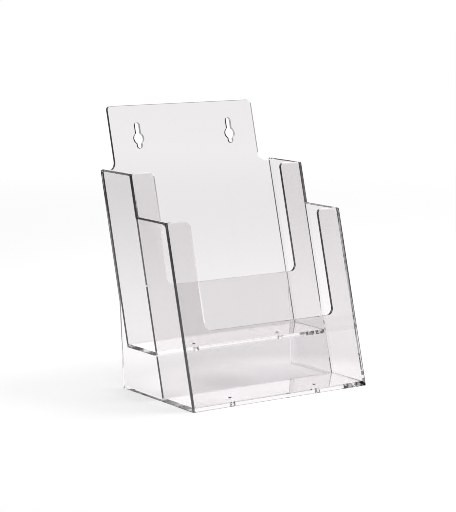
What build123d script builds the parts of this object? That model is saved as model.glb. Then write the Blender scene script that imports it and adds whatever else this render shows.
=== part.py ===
from build123d import *
import os
from math import cos, radians, tan

# Two-tier holder for A5 leaflets: eight clear plastic panels, solvent-bonded edge to face.
# Millimetres. X runs to the viewer's right, Y to the back, Z up. The holder stands on z = 0
# with its origin under the middle of its overall box. A tier's front and back lean back
# together, so each height below is a true height above the counter.

# ---- sheet and joints ----
wall = 2.5                  # thickness of every upright panel
floor_thickness = 3.0       # thickness of the two pocket floors
bond_line = 0.05            # gap that the solvent cement fills at each joint

# ---- what the pockets hold ----
leaflet_width = 148.0       # A5 sheet standing upright
leaflet_play = 10.0         # spare width of a pocket around the sheet

# ---- side profile ----
lean = 15.1                 # degrees that the pockets lean back from upright
tier_depth = 41.7           # from one tier's front face to the next, along Y
front_pocket_top = 137.0
rear_pocket_top = 169.0
rear_floor_underside = 33.2
header_top = 216.5
fin_foot_reach = 99.5       # from the front bottom edge to the fins' back bottom corner
fin_top = 68.5              # where the fins' back edges meet the leaning back panel
edge_round = 1.5            # outer edge of each side, along its fronts and tops
corner_ease = 0.1           # how much rounder the sides' front top corners are than that edge
rear_corner_round = 2.0     # the sides' back top corners
lip_nose = 1.5              # front top edge of each pocket's front
fin_foot_round = 1.0

# ---- front view ----
lip_reach = 21.4            # lips, from the holder's outer side to their inner edge
front_sill = 56.3           # bottom of the front pocket's cut-out
rear_sill = 84.4            # bottom of the rear pocket's cut-out
lip_round = 3.5
sill_round = 6.0
header_inset = 12.8         # header's side edge, from the holder's outer side
header_flare = 7.0          # concave sweep from the header's edge to its shoulder
shoulder_drop = 2.0         # back panel's shoulders below the sides' tops
header_round = 3.0

# ---- fixings ----
keyhole_spacing = 87.2
keyhole_set_down = 25.6     # head's centre below the header's top
keyhole_head = 9.2          # diameter that a screw head passes
keyhole_slot = 4.6          # width of the slots above and below the head
keyhole_rise = 12.9         # from the head's centre to the upper slot's end
keyhole_drop = 8.1          # from the head's centre to the lower slot's end
keyhole_blend = 1.0         # rounding where the slots run into the head
floor_hole = 4.6            # diameter of the floors' screw holes
floor_hole_spacing = 80.0
floor_hole_setback = 15.5   # from the tier's front face at the floor's underside

# ---- worked out ----
slope = tan(radians(lean))
level_wall = wall / cos(radians(lean))      # a leaning wall, measured along Y
level_bond = bond_line / cos(radians(lean))
outer_width = leaflet_width + leaflet_play + 2 * wall
half_outer = outer_width / 2
half_inner = half_outer - wall
half_panel = half_inner - bond_line         # panels end a bond line short of the sides
front_floor_top = floor_thickness
rear_floor_top = rear_floor_underside + floor_thickness
middle_face = tier_depth                    # front faces' places along Y at z = 0
back_face = 2 * tier_depth
overall_depth = back_face + level_wall + header_top * slope
fin_top_reach = back_face + level_wall + fin_top * slope
keyhole_height = header_top - keyhole_set_down
to_origin = Pos(0, -overall_depth / 2, 0)
beyond = 2 * overall_depth                  # cutters and outlines reach well past the part


def leaning(face, z):
    """The (y, z) point of a leaning face that meets z = 0 at y = face."""
    return (face + z * slope, z)


def nearest(sketch, *spots):
    """The sketch's corners that lie closest to the given points."""
    return [min(sketch.vertices(), key=lambda v: (Vector(v) - Vector(s)).length) for s in spots]


def rounded(points, *rounds):
    """A polygon with some of its corners rounded, each given as (point, radius)."""
    outline = Polygon(*points, align=None)
    for spot, radius in rounds:
        outline = fillet(nearest(outline, spot), radius)
    return outline


def slab(face, low, high, depth=level_wall, nose=None):
    """A leaning panel's body between the sides, from its (y, z) profile."""
    points = [leaning(face, low), leaning(face, high), leaning(face + depth, high), leaning(face + depth, low)]
    profile = rounded(points, (points[1], nose)) if nose else Polygon(*points, align=None)
    return extrude(Plane.YZ * profile, amount=half_panel, both=True)


def front_view(outline):
    """A front-view (x, z) outline carried through the whole depth."""
    return extrude(Plane.XZ * outline, amount=beyond, both=True)


def side_plate(side):
    """One stepped side: both pockets' ends and the fin that props them up.

    Its outer edge is rounded along the fronts and tops. The back and the foot stay square.
    """
    front_top, middle_top = leaning(0, front_pocket_top), leaning(middle_face, rear_pocket_top)
    rear_top = leaning(back_face + level_wall, rear_pocket_top)
    points = [
        (0, 0),
        front_top,
        leaning(middle_face, front_pocket_top),
        middle_top,
        rear_top,
        (fin_top_reach, fin_top),
        (fin_foot_reach, 0),
    ]
    nose = min(edge_round, 0.8 * wall)
    corner = nose + corner_ease
    outline = rounded(points, (front_top, corner), (middle_top, corner), (points[-1], fin_foot_round))
    plate = Pos(side * (half_outer - wall / 2), 0, 0) * extrude(Plane.YZ * outline, amount=wall / 2, both=True)
    outer_face = plate.faces().sort_by(Axis.X)[-1 if side > 0 else 0]
    spots = [(edge, edge.center()) for edge in outer_face.edges()]
    rear = back_face + level_wall / 2
    fronts_and_tops = [edge for edge, spot in spots if spot.Z > wall and spot.Y - spot.Z * slope < rear]
    rear_trim = extrude(Plane.YZ * rounded(points, (rear_top, rear_corner_round)), amount=beyond, both=True)
    return fillet(fronts_and_tops, nose) & rear_trim


def pocket_front(face, low, sill, top):
    """A pocket's front: a sill across the bottom and a lip up each side."""
    inner = half_outer - lip_reach
    outline = rounded(
        [
            (-half_panel, low), (half_panel, low), (half_panel, top), (inner, top),
            (inner, sill), (-inner, sill), (-inner, top), (-half_panel, top),
        ],
        ((inner, top), lip_round), ((-inner, top), lip_round),
        ((inner, sill), sill_round), ((-inner, sill), sill_round),
    )
    return slab(face, low, top, nose=lip_nose) & front_view(outline)


def keyhole(x):
    """A hanging hole square to the back panel: a round head with a slot above and below."""
    head = Circle(keyhole_head / 2)
    length = keyhole_rise + keyhole_drop
    slot = Pos(0, (keyhole_rise - keyhole_drop) / 2) * SlotOverall(length, keyhole_slot, rotation=90)
    side = keyhole_slot / 2
    reach = ((keyhole_head / 2) ** 2 - side**2) ** 0.5
    outline = head + slot
    necks = nearest(outline, *[(sx * side, sy * reach) for sx in (-1, 1) for sy in (-1, 1)])
    outline = fillet(necks, keyhole_blend)
    spot = leaning(back_face, keyhole_height)
    square_on = Plane(
        origin=(x, *spot), x_dir=(1, 0, 0), z_dir=(0, -cos(radians(lean)), slope * cos(radians(lean)))
    )
    return extrude(square_on * outline, amount=4 * wall, both=True)


def back_panel():
    """The back: behind the rear pocket, then a narrower header with two keyholes."""
    header = half_outer - header_inset
    low, shoulder, top = rear_floor_underside, rear_pocket_top - shoulder_drop, header_top
    outline = rounded(
        [
            (-half_panel, low), (half_panel, low), (half_panel, shoulder), (header, shoulder),
            (header, top), (-header, top), (-header, shoulder), (-half_panel, shoulder),
        ],
        ((header, shoulder), header_flare), ((-header, shoulder), header_flare),
        ((header, top), header_round), ((-header, top), header_round),
    )
    panel = slab(back_face, low, top) & front_view(outline)
    return panel - keyhole(-keyhole_spacing / 2) - keyhole(keyhole_spacing / 2)


def pocket_floor(face, low):
    """A pocket's floor, from its tier's front face to the wall behind, with two screw holes."""
    floor = slab(face, low, low + floor_thickness, depth=tier_depth - level_bond)
    hole_place = leaning(face, low)[0] + floor_hole_setback
    for x in (-floor_hole_spacing / 2, floor_hole_spacing / 2):
        floor -= Pos(x, hole_place, low) * Cylinder(floor_hole / 2, 4 * floor_thickness)
    return floor


panels = {
    "left_side_plate": side_plate(-1),
    "right_side_plate": side_plate(1),
    "front_pocket_floor": pocket_floor(0, 0),
    "front_pocket_front": pocket_front(0, front_floor_top + bond_line, front_sill, front_pocket_top),
    "riser": slab(middle_face, 0, rear_floor_underside - bond_line),
    "rear_pocket_floor": pocket_floor(middle_face, rear_floor_underside),
    "rear_pocket_front": pocket_front(
        middle_face, rear_floor_top + bond_line, rear_sill, rear_pocket_top
    ),
    "back_panel": back_panel(),
}

os.makedirs("parts", exist_ok=True)
for name, panel in panels.items():
    solid = (to_origin * panel).solids()[0]
    solid.label = name
    export_step(solid, f"parts/{name}.step")
    print(name, round(solid.volume / 1000, 2), "cm3")
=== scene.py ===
import math

import bmesh
import bpy
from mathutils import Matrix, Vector


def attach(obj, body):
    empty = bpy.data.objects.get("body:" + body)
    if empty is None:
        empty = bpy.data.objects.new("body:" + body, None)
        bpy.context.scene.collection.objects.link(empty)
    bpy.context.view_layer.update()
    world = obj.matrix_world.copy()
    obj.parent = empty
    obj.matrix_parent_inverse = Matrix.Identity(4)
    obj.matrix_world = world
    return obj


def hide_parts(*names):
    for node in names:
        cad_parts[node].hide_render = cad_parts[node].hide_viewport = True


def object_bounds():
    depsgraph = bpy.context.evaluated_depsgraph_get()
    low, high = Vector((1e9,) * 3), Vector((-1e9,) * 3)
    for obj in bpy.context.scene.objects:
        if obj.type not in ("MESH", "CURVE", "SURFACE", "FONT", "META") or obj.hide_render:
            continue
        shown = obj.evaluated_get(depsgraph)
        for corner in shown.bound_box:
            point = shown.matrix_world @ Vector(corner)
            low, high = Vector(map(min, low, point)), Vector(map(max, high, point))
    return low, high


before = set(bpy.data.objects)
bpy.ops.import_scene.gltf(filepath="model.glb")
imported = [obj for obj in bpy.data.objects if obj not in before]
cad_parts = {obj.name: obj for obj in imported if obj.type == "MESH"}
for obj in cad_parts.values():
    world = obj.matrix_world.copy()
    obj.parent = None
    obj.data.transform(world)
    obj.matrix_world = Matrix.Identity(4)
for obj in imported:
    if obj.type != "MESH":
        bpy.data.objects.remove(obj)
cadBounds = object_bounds()
scene = bpy.context.scene


def metres(mm):
    return mm / 1000


def linear(hexCode):
    # sRGB hex to the linear colour that shaders take
    parts = [int(hexCode[i:i + 2], 16) / 255 for i in (1, 3, 5)]
    return tuple(c / 12.92 if c <= 0.04045 else ((c + 0.055) / 1.055) ** 2.4 for c in parts) + (1.0,)


def heading(azimuth, elevation):
    # the direction so many degrees round from the back towards the right, and so many up
    turn, rise = math.radians(azimuth), math.radians(elevation)
    return Vector((math.sin(turn) * math.cos(rise), math.cos(turn) * math.cos(rise), math.sin(rise)))


def addNode(tree, kind, values=None, links=None, **settings):
    # one node with its settings, its plain socket values and its incoming links
    node = tree.nodes.new(kind)
    for name, value in settings.items():
        setattr(node, name, value)
    for socket, value in (values or {}).items():
        node.inputs[socket].default_value = value
    for socket, source in (links or {}).items():
        tree.links.new(source, node.inputs[socket])
    return node


def newMaterial(name):
    material = bpy.data.materials.new(name)
    material.use_nodes = True
    material.node_tree.nodes.clear()
    return material, material.node_tree


cameraSpec = {
    "azimuth": -34.4,       # degrees round the holder from its front, negative towards its left side
    "elevation": 8.85,
    "distance": 1426,       # mm from the point it looks at
    "lens": 131.5,          # mm, long, as for product shots
    "aim": (-24.7, -34.1, -1.0),    # mm from the middle of the holder's box
    "clip": (50, 50000),    # mm, the nearest and farthest that it sees
}


def buildCamera(spec):
    low, high = cadBounds
    aim = (low + high) / 2 + Vector([metres(v) for v in spec["aim"]])
    back = heading(180 - spec["azimuth"], spec["elevation"])
    data = bpy.data.cameras.new("camera")
    data.lens = spec["lens"]
    data.clip_start, data.clip_end = [metres(v) for v in spec["clip"]]
    camera = bpy.data.objects.new("camera", data)
    camera.location = aim + back * metres(spec["distance"])
    camera.rotation_mode = "QUATERNION"
    camera.rotation_quaternion = (-back).to_track_quat("-Z", "Y")
    scene.collection.objects.link(camera)
    scene.camera = camera
    print("camera in place")


buildCamera(cameraSpec)

# clear acrylic, cast in sheets: colourless to a hair of pink, its faces a little out of flat, so what
# they mirror wanders, with the faintest handling marks in places
acrylicSheet = {
    "ior": 1.49,
    "tint": "#f2f0f1",
    "passingTint": "#f0eeef",   # what a lamp's light loses at each face
    "waveLength": 34,           # mm from crest to crest of the faces' slow waviness
    "waveHeight": 0.004,        # mm
    "haze": 0.012,              # roughness of the handling marks
    "hazePatch": 26,            # mm across
    "hazeShows": (0.55, 0.8),   # levels of the noise between which the marks come in
}

# the same sheet where a router has rounded or cut its edge and a buff has shone it, tinted near-black:
# painted shade that draws the edge as a dark line, in place of the dark that the studio gives such edges
paintedShadeEdge = {
    **acrylicSheet,
    # the near-black tint is painted shade
    "tint": "#303031",
    "haze": 0.02,               # roughness left between the buff's passes
    "hazePatch": 9,             # mm, the length of a pass
}

# a wall as the cutter left it, not buffed: it lets little light through. It comes in two copies, a pale one
# that is painted light and a near-black one that is painted shade, and each keyhole wall takes one by the way
# it faces
milledWallPaintedLightShade = {
    "ior": 1.49,
    "roughness": 0.35,
    "cutterMark": 0.4,          # mm between marks, too fine to be seen singly: they soften the tone
    "markHeight": 0.01,         # mm
    "paintedLightSide": {"colour": "#cfcfd0", "passing": 0.35, "shine": 0.5},
    "paintedShadeSide": {"colour": "#0b0b0c", "passing": 0.0, "shine": 0.0},
    "paintedShadeWay": (0.8, 0.6),    # sideways and upward shares of the way that the keyhole walls with painted shade look
}


def acrylic(name, spec):
    material, tree = newMaterial(name)
    place = addNode(tree, "ShaderNodeTexCoord")
    waves = addNode(tree, "ShaderNodeTexNoise", {"Scale": 1 / metres(spec["waveLength"]), "Detail": 1.0},
                    {"Vector": place.outputs["Object"]})
    relief = addNode(tree, "ShaderNodeBump", {"Strength": 1.0, "Distance": metres(spec["waveHeight"])},
                     {"Height": waves.outputs["Fac"]})
    patches = addNode(tree, "ShaderNodeTexNoise", {"Scale": 1 / metres(spec["hazePatch"]), "Detail": 3.0},
                      {"Vector": place.outputs["Object"]})
    low, high = spec["hazeShows"]
    haze = addNode(tree, "ShaderNodeMapRange",
                   {"From Min": low, "From Max": high, "To Min": 0.0, "To Max": spec["haze"]},
                   {"Value": patches.outputs["Fac"]})
    body = addNode(tree, "ShaderNodeBsdfPrincipled",
                   {"Base Color": linear(spec["tint"]), "IOR": spec["ior"], "Transmission Weight": 1.0},
                   {"Normal": relief.outputs["Normal"], "Roughness": haze.outputs["Result"]})
    passing = addNode(tree, "ShaderNodeBsdfTransparent", {"Color": linear(spec["passingTint"])})
    path = addNode(tree, "ShaderNodeLightPath")
    both = addNode(tree, "ShaderNodeMixShader", links={0: path.outputs["Is Shadow Ray"], 1: body.outputs[0],
                                                       2: passing.outputs[0]})
    addNode(tree, "ShaderNodeOutputMaterial", links={"Surface": both.outputs[0]})
    return material


def milledAcrylicPaintedLightShade(name, spec, side):
    material, tree = newMaterial(name)
    place = addNode(tree, "ShaderNodeTexCoord")
    marks = addNode(tree, "ShaderNodeTexNoise", {"Scale": 1 / metres(spec["cutterMark"]), "Detail": 1.0},
                    {"Vector": place.outputs["Object"]})
    relief = addNode(tree, "ShaderNodeBump", {"Strength": 1.0, "Distance": metres(spec["markHeight"])},
                     {"Height": marks.outputs["Fac"]})
    body = addNode(tree, "ShaderNodeBsdfPrincipled",
                   {"Base Color": linear(side["colour"]), "IOR": spec["ior"], "Roughness": spec["roughness"],
                    "Transmission Weight": side["passing"], "Specular IOR Level": side["shine"]},
                   {"Normal": relief.outputs["Normal"]})
    addNode(tree, "ShaderNodeOutputMaterial", links={"Surface": body.outputs[0]})
    return material


def curedCement():
    # it wets both faces of a joint and turns them into one clear body, so nothing shows there
    material, tree = newMaterial("cured solvent cement")
    body = addNode(tree, "ShaderNodeBsdfPrincipled", {"Alpha": 0.0, "Specular IOR Level": 0.0})
    addNode(tree, "ShaderNodeOutputMaterial", links={"Surface": body.outputs[0]})
    return material


finishes = [acrylic("clear cast acrylic sheet", acrylicSheet), curedCement(),
            acrylic("routed and buffed acrylic edge, painted shade", paintedShadeEdge),
            milledAcrylicPaintedLightShade("milled acrylic, painted light", milledWallPaintedLightShade, milledWallPaintedLightShade["paintedLightSide"]),
            milledAcrylicPaintedLightShade("milled acrylic, painted shade", milledWallPaintedLightShade, milledWallPaintedLightShade["paintedShadeSide"])]
faceFinish, cementFinish, paintedShadeEdgeFinish, paintedLightFinish, paintedShadeFinish = range(5)
print("finishes mixed")

jointSpec = {
    "reach": 0.1,           # mm across which cement still fills a joint
    "merge": 0.001,         # mm within which two corners are one
    "flatWithin": 0.3,      # degrees of bend below which neighbouring facets are one flat face
    "parallelFrom": 0.9999,     # cosine of the angle between two normals
    "samePlane": 0.01,      # mm
    "shortestEdge": 0.02,   # mm, below which a neighbour's edge draws no line
    "smallestCut": 0.003,   # mm, below which a cut line counts as already there
}


def plainMesh(node):
    # the panel as plain polygons, with no seams inside its flat faces
    mesh = bmesh.new()
    mesh.from_mesh(node.data)
    bmesh.ops.remove_doubles(mesh, verts=mesh.verts, dist=metres(jointSpec["merge"]))
    bmesh.ops.dissolve_limit(mesh, angle_limit=math.radians(jointSpec["flatWithin"]), verts=mesh.verts,
                             edges=mesh.edges)
    return mesh


def cutFaces(mesh, faces, spot, across):
    # one straight cut through some of a panel's flat faces
    cut = set(faces) | {part for face in faces for part in (*face.verts, *face.edges)}
    bmesh.ops.bisect_plane(mesh, geom=list(cut), dist=metres(jointSpec["smallestCut"]), plane_co=spot,
                           plane_no=across)


def inside(point, face):
    # crossing test in the plane of the face
    across = face.normal.orthogonal().normalized()
    along = face.normal.cross(across)
    px, py = point.dot(across), point.dot(along)
    ring = [(corner.co.dot(across), corner.co.dot(along)) for corner in face.verts]
    crossings = 0
    for (ax, ay), (bx, by) in zip(ring, ring[1:] + ring[:1]):
        if (ay > py) != (by > py) and px < ax + (py - ay) * (bx - ax) / (by - ay):
            crossings += 1
    return crossings % 2 == 1


def boxesMeet(face, other):
    slack = metres(jointSpec["reach"])
    for i in range(3):
        mine = [corner.co[i] for corner in face.verts]
        theirs = [corner.co[i] for corner in other.verts]
        if min(mine) > max(theirs) + slack or min(theirs) > max(mine) + slack:
            return False
    return True


def inPlane(face, normal, spot):
    off = abs((face.verts[0].co - spot).dot(normal))
    return face.normal.dot(normal) > jointSpec["parallelFrom"] and off < metres(jointSpec["samePlane"])


def facesAcross(mesh, neighbours):
    # each neighbour's face that looks back at one of this panel's faces, with that face's plane
    found = []
    for face in mesh.faces:
        for other in [f for neighbour in neighbours for f in neighbour.faces]:
            gap = abs((other.verts[0].co - face.verts[0].co).dot(face.normal))
            opposite = face.normal.dot(other.normal) < -jointSpec["parallelFrom"]
            if opposite and gap < metres(jointSpec["reach"]) and boxesMeet(face, other):
                found.append((face.normal.copy(), face.verts[0].co.copy(), other))
    return found


def markJoints(mesh, neighbours):
    # draw the neighbours' outlines on this panel's faces, and give what they cover to the cement
    across = facesAcross(mesh, neighbours)
    for normal, spot, other in across:
        for edge in other.edges:
            run = edge.verts[1].co - edge.verts[0].co
            flat = [face for face in mesh.faces if inPlane(face, normal, spot)]
            if run.length > metres(jointSpec["shortestEdge"]):
                cutFaces(mesh, flat, edge.verts[0].co, run.cross(normal).normalized())
    for face in mesh.faces:
        middle = face.calc_center_median()
        covered = any(inPlane(face, normal, spot) and inside(middle, other) for normal, spot, other in across)
        face.material_index = cementFinish if covered else faceFinish


panelSpec = {
    "sharpFrom": 40,        # degrees between faces, above which an edge stays crisp
    "flatWeight": 100,      # the most, so that large faces stay flat right up to their rounded edges
    "roundedEdge": (0.02, 0.999),   # sideways share of a normal, on a side plate's rounded edge
    "cutFace": 0.5,         # share of a normal, above which a narrow face looks sideways, back or down
    "flatFace": 0.9,        # share of a normal, above which a face looks straight back or down
    "holesFrom": 175,       # mm up the back panel, above which its keyholes are
    "holesWithin": 55,      # mm from its middle
    "paintedShadeFoot": 22,         # mm of each side's foot, from its front, that get painted shade, the same near-black as the keyholes' shaded walls
}


def paintedShadeFootEnd(spec):
    # how far back the painted shade on the feet goes
    return cadBounds[0].y + metres(spec["paintedShadeFoot"])


def finishOf(name, polygon, spec):
    # the finish of one of a panel's faces, told from where the face looks: the dark edges, the dark front of
    # the feet and the keyholes' dark and pale walls are painted shade and painted light
    normal, middle = polygon.normal, polygon.center
    sideways = abs(normal.x)
    if "side_plate" in name:
        low, high = spec["roundedEdge"]
        # the front stretch of each foot gets painted shade
        if normal.z < -spec["flatFace"] and middle.y < paintedShadeFootEnd(spec):
            return paintedShadeFinish
        # the rounded edge and the faces that look back or down get the dark edge finish, painted shade
        sawn = normal.y > spec["cutFace"] or normal.z < -spec["cutFace"]
        return paintedShadeEdgeFinish if low < sideways < high or sawn else faceFinish
    if "pocket_front" in name:
        # the pocket fronts' end faces get the dark edge finish, painted shade
        return paintedShadeEdgeFinish if sideways > spec["cutFace"] else faceFinish
    nearHoles = middle.z > metres(spec["holesFrom"]) and abs(middle.x) < metres(spec["holesWithin"])
    if "back_panel" in name and nearHoles and abs(normal.y) < spec["flatFace"]:
        # keyhole walls that face right and up get painted shade, the others painted light
        across, up = milledWallPaintedLightShade["paintedShadeWay"]
        return paintedShadeFinish if normal.x * across + normal.z * up > 0 else paintedLightFinish
    return faceFinish


def dressPanel(name, bodies, spec):
    mesh = bodies[name].copy()
    if "side_plate" in name:
        # cut each foot where its painted shade ends
        foot = [face for face in mesh.faces if face.normal.z < -spec["flatFace"]]
        cutFaces(mesh, foot, Vector((0, paintedShadeFootEnd(spec), 0)), Vector((0, 1, 0)))
    markJoints(mesh, [other for key, other in bodies.items() if key != name])
    label = "clear-" + name.replace("_", "-")
    data = bpy.data.meshes.new(label)
    mesh.to_mesh(data)
    mesh.free()
    for finish in finishes:
        data.materials.append(finish)
    for polygon in data.polygons:
        polygon.use_smooth = True
        if polygon.material_index == faceFinish:
            polygon.material_index = finishOf(name, polygon, spec)
    data.set_sharp_from_angle(angle=math.radians(spec["sharpFrom"]))
    piece = bpy.data.objects.new(label, data)
    scene.collection.objects.link(piece)
    even = piece.modifiers.new("flat faces stay flat", "WEIGHTED_NORMAL")
    even.weight = spec["flatWeight"]
    even.keep_sharp = True
    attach(piece, "root")
    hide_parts(name)


bodies = {name: plainMesh(node) for name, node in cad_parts.items()}
for name in bodies:
    dressPanel(name, bodies, panelSpec)
print("panels dressed and bonded")

# straight on, the studio is plain white. What the sheet mirrors is dimmer and has a shape: a grey
# room, softboxes behind, and a table that is bright round the holder and falls away. Light that runs
# along inside a sheet loses a little at each inner bounce, which is what turns its edges dark
studioSpec = {
    "white": 1.02,          # a touch over 1, so the backdrop comes out clean
    "kept": 0.93,           # share of the light left after each inner bounce
    "room": 0.45,
    # azimuth from the back towards the right, elevation, half the width of the full patch and of its
    # fade, all in degrees, and what the patch adds to the room
    "patches": [
        (35, 14, 14, 32, 1.10),
        (10, 38, 10, 45, 0.35),
        (340, 14, 10, 35, 0.30),
        (140, 24, 10, 30, -0.18),
    ],
}

tableSpec = {
    "half": 6000,           # mm
    "drop": 0.2,            # mm under the holder, so the two never share a plane
    "albedo": 0.45,         # low for white laminate, whose glow gives the rest
    "glow": (0.37, 0.55),   # share of its white that shadows can't take, near the holder and far off
    "glowReach": (600, 2000),       # mm from the holder's middle, where the one turns into the other
    # painted light and painted shadow on the table: place, radii of the full patch and of its fade, all in
    # mm, and what the patch adds to the glow
    "patches": [
        ((30, -35, 0), (65, 130), 0.30),    # painted pool of light, in place of the light that the floors pass on to the table
        ((-8, 9, 0), (0, 48), -0.20),       # painted shadow behind the riser
    ],
    "mirrored": (1.45, 0.50),       # how bright the sheet mirrors it, near and far off
    "mirroredReach": (300, 1400),
}

# a soft lamp from the right, for the pale shadow at the holder's left. The sheet doesn't mirror it
lampSpec = {
    "azimuth": 96,          # degrees from the back, towards the right
    "elevation": 67,
    "distance": 1200,       # mm
    "size": 350,            # mm across
    "power": 8.8,           # W
}


def shareLeft(tree, path):
    # 1 for a ray's first mirroring, a little less at each one after it
    extra = addNode(tree, "ShaderNodeMath", {1: 1.0}, {0: path.outputs["Glossy Depth"]}, operation="SUBTRACT")
    return addNode(tree, "ShaderNodeMath", {0: studioSpec["kept"]}, {1: extra.outputs[0]},
                   operation="POWER").outputs[0]


def straightOn(tree, path):
    # 1 for rays that nothing has mirrored yet
    return addNode(tree, "ShaderNodeMath", {1: 0.5}, {0: path.outputs["Glossy Depth"]},
                   operation="LESS_THAN").outputs[0]


def fade(tree, place, levels, reach, curve, middle=(0, 0, 0)):
    # one level near a spot on the table, turning into another with the distance from it
    out = addNode(tree, "ShaderNodeVectorMath", {1: [metres(v) for v in middle]},
                  {0: place.outputs["Object"]}, operation="DISTANCE")
    return addNode(tree, "ShaderNodeMapRange",
                   {"From Min": metres(reach[0]), "From Max": metres(reach[1]), "To Min": levels[0],
                    "To Max": levels[1]}, {"Value": out.outputs["Value"]},
                   interpolation_type=curve).outputs["Result"]


def buildTable(spec):
    half = metres(spec["half"])
    data = bpy.data.meshes.new("table")
    corners = [(-half, -half, 0), (half, -half, 0), (half, half, 0), (-half, half, 0)]
    data.from_pydata(corners, [], [(0, 1, 2, 3)])
    table = bpy.data.objects.new("table", data)
    table.location.z = -metres(spec["drop"])
    scene.collection.objects.link(table)
    material, tree = newMaterial("matt white laminate")
    place = addNode(tree, "ShaderNodeTexCoord")
    path = addNode(tree, "ShaderNodeLightPath")
    grey = spec["albedo"]
    body = addNode(tree, "ShaderNodeBsdfDiffuse", {"Color": (grey, grey, grey, 1)})
    own = fade(tree, place, spec["glow"], spec["glowReach"], "SMOOTHSTEP")
    # the patches add painted light and a painted shadow to the table's glow
    for middle, reach, gain in spec["patches"]:
        patch = fade(tree, place, (gain, 0.0), reach, "SMOOTHSTEP", middle)
        own = addNode(tree, "ShaderNodeMath", links={0: own, 1: patch}).outputs[0]
    glow = addNode(tree, "ShaderNodeEmission", links={"Strength": own})
    lit = addNode(tree, "ShaderNodeAddShader", links={0: body.outputs[0], 1: glow.outputs[0]})
    level = fade(tree, place, spec["mirrored"], spec["mirroredReach"], "LINEAR")
    dimmed = addNode(tree, "ShaderNodeMath", links={0: level, 1: shareLeft(tree, path)}, operation="MULTIPLY")
    mirrored = addNode(tree, "ShaderNodeEmission", links={"Strength": dimmed.outputs[0]})
    both = addNode(tree, "ShaderNodeMixShader", links={0: straightOn(tree, path), 1: mirrored.outputs[0],
                                                       2: lit.outputs[0]})
    addNode(tree, "ShaderNodeOutputMaterial", links={"Surface": both.outputs[0]})
    data.materials.append(material)
    print("table laid")


def buildStudio(spec):
    world = bpy.data.worlds.new("studio")
    scene.world = world
    world.use_nodes = True
    tree = world.node_tree
    tree.nodes.clear()
    aim = addNode(tree, "ShaderNodeTexCoord")
    path = addNode(tree, "ShaderNodeLightPath")
    level = addNode(tree, "ShaderNodeValue").outputs[0]
    level.default_value = spec["room"]
    for azimuth, elevation, full, faded, gain in spec["patches"]:
        toward = addNode(tree, "ShaderNodeVectorMath", {1: heading(azimuth, elevation)},
                         {0: aim.outputs["Generated"]}, operation="DOT_PRODUCT")
        patch = addNode(tree, "ShaderNodeMapRange",
                        {"From Min": math.cos(math.radians(faded)), "From Max": math.cos(math.radians(full)),
                         "To Max": gain}, {"Value": toward.outputs["Value"]}, interpolation_type="SMOOTHSTEP")
        level = addNode(tree, "ShaderNodeMath", links={0: level, 1: patch.outputs["Result"]}).outputs[0]
    dimmed = addNode(tree, "ShaderNodeMath", links={0: level, 1: shareLeft(tree, path)}, operation="MULTIPLY")
    mirrored = addNode(tree, "ShaderNodeBackground", {"Color": (1, 1, 1, 1)},
                       {"Strength": dimmed.outputs[0]})
    plain = addNode(tree, "ShaderNodeBackground", {"Color": (1, 1, 1, 1), "Strength": spec["white"]})
    both = addNode(tree, "ShaderNodeMixShader", links={0: straightOn(tree, path), 1: mirrored.outputs[0],
                                                       2: plain.outputs[0]})
    addNode(tree, "ShaderNodeOutputWorld", links={"Surface": both.outputs[0]})
    world.cycles.sampling_method = "NONE"       # so soft a studio needs no map of its bright spots
    print("studio lit")


def buildLamp(spec):
    data = bpy.data.lights.new("softLamp", "AREA")
    data.shape = "DISK"
    data.size = metres(spec["size"])
    data.energy = spec["power"]
    lamp = bpy.data.objects.new("softLamp", data)
    toward = heading(spec["azimuth"], spec["elevation"])
    lamp.location = toward * metres(spec["distance"])
    lamp.rotation_mode = "QUATERNION"
    lamp.rotation_quaternion = (-toward).to_track_quat("-Z", "Y")
    lamp.visible_glossy = False
    lamp.visible_transmission = False
    scene.collection.objects.link(lamp)
    print("lamp hung")


buildTable(tableSpec)
buildStudio(studioSpec)
buildLamp(lampSpec)

lightPaths = {
    "bounces": 48,          # light goes round many times inside a clear sheet
    "mirrorings": 32,
    "filterWidth": 0.9,     # narrow, so the thin edges stay crisp
}


def setLightPaths(spec):
    scene.cycles.max_bounces = spec["bounces"]
    scene.cycles.transmission_bounces = spec["bounces"]
    scene.cycles.transparent_max_bounces = spec["bounces"]
    scene.cycles.glossy_bounces = spec["mirrorings"]
    scene.cycles.caustics_refractive = True
    scene.cycles.caustics_reflective = False
    scene.cycles.filter_width = spec["filterWidth"]
    scene.view_settings.view_transform = "Standard"
    print("light paths set")


setLightPaths(lightPaths)
